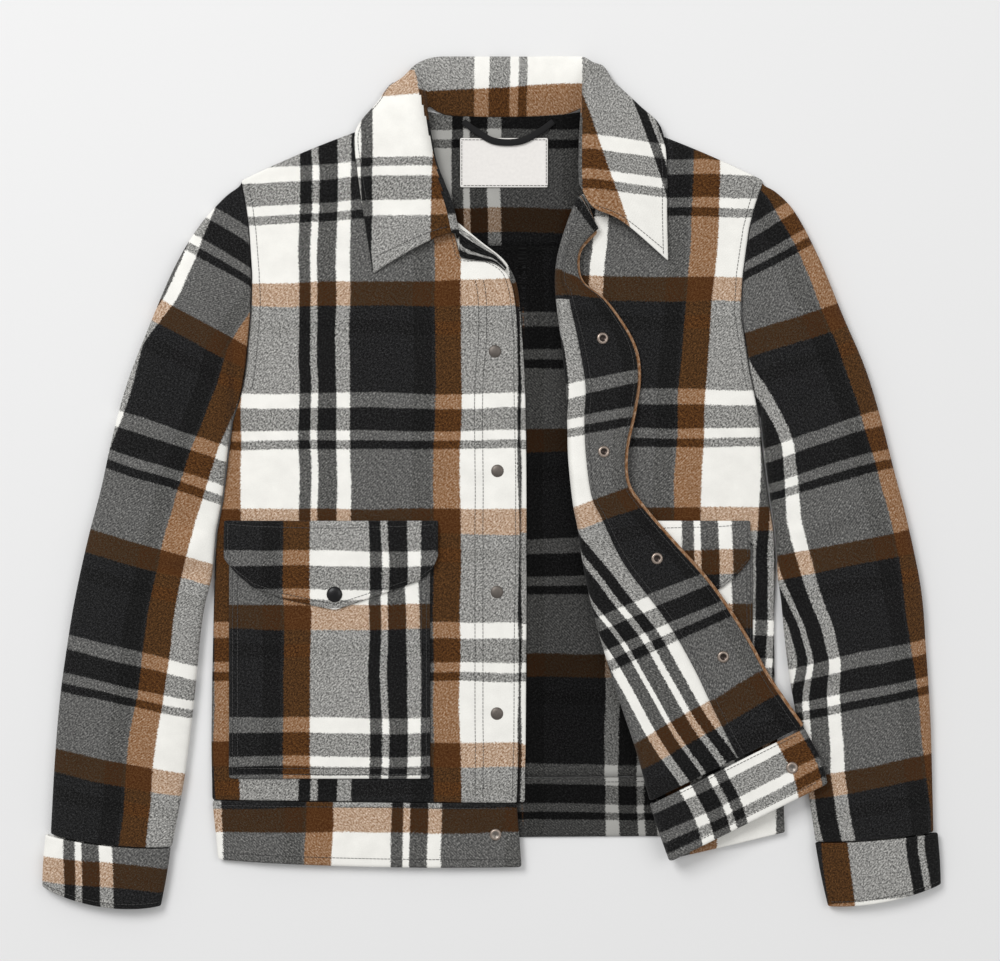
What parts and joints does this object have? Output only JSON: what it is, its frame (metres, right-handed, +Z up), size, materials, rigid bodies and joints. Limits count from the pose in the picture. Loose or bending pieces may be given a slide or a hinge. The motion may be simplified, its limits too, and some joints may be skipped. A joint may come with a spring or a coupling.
{
  "type": "mackinaw jacket",
  "caption": "Plaid wool mackinaw jacket laid open and flat on its back, with a shirt collar, flapped patch pockets, banded hem and cuffs, and a snap front turned back on one side.",
  "frame": {"origin": "on the surface that the jacket lies on, under the middle of its outline", "axes": "+Z up out of the surface, +Y toward the collar, +X toward the wearer's left sleeve"},
  "size_m": [0.826, 0.7844, 0.0224],
  "materials": {
    "plaid_wool": "napped wool twill, brown, black and white plaid",
    "plaid_wool_inside": "inside face of the plaid wool",
    "label_cloth": "plain woven label",
    "loop_tape": "black woven tape",
    "snap_nickel": "antique nickel",
    "snap_dark": "dark enamel cap"
  },
  "bodies": {
    "root": {"back": "plaid_wool_inside", "back_yoke": "plaid_wool_inside", "hem_band_back": "plaid_wool", "front_right": "plaid_wool", "front_left": "plaid_wool", "facing_right": "plaid_wool", "facing_left": "plaid_wool", "hem_band_right": "plaid_wool", "hem_band_left": "plaid_wool", "collar": "plaid_wool", "sleeve_right": "plaid_wool", "forearm_right": "plaid_wool", "sleeve_left": "plaid_wool", "cuff_right": "plaid_wool", "cuff_left": "plaid_wool", "pocket_right": "plaid_wool", "pocket_left": "plaid_wool", "pocket_flap_right": "plaid_wool", "pocket_flap_left": "plaid_wool", "label": "label_cloth", "hanger_loop": "loop_tape", "snap_stud_1": "snap_nickel", "snap_stud_2": "snap_nickel", "snap_stud_3": "snap_nickel", "snap_stud_4": "snap_nickel", "snap_stud_5": "snap_nickel", "snap_socket_1": "snap_nickel", "snap_socket_2": "snap_nickel", "snap_socket_3": "snap_nickel", "snap_socket_4": "snap_nickel", "snap_socket_5": "snap_nickel", "snap_cap_right": "snap_dark", "snap_cap_left": "snap_dark"}
  },
  "joints": []
}
